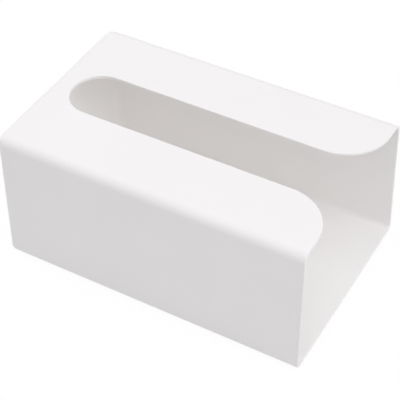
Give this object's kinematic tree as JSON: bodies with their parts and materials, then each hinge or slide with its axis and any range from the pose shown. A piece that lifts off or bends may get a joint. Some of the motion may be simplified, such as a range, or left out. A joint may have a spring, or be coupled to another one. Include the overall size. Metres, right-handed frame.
{
  "type": "wall-mounted tissue box",
  "caption": "One-piece rounded box for a pack of tissues, closed at one end and open at the other, with a long pull-out slot in its face and adhesive pads on its back.",
  "frame": {"origin": "centre of the footprint, on the plane of the wall: the outer faces of the adhesive pads", "axes": "+X along the box from the closed end to the open end, +Y across it, +Z out of the wall towards the face with the slot. The box lies on its back."},
  "size_m": [0.2, 0.1298, 0.0895],
  "materials": {
    "shell": "matte white, very fine moulded texture",
    "foam_pad": "dull closed-cell foam with a slightly glossy adhesive face"
  },
  "bodies": {
    "root": {"box_shell": "shell", "adhesive_pad_closed_end": "foam_pad", "adhesive_pad_mouth_end": "foam_pad"}
  },
  "joints": []
}
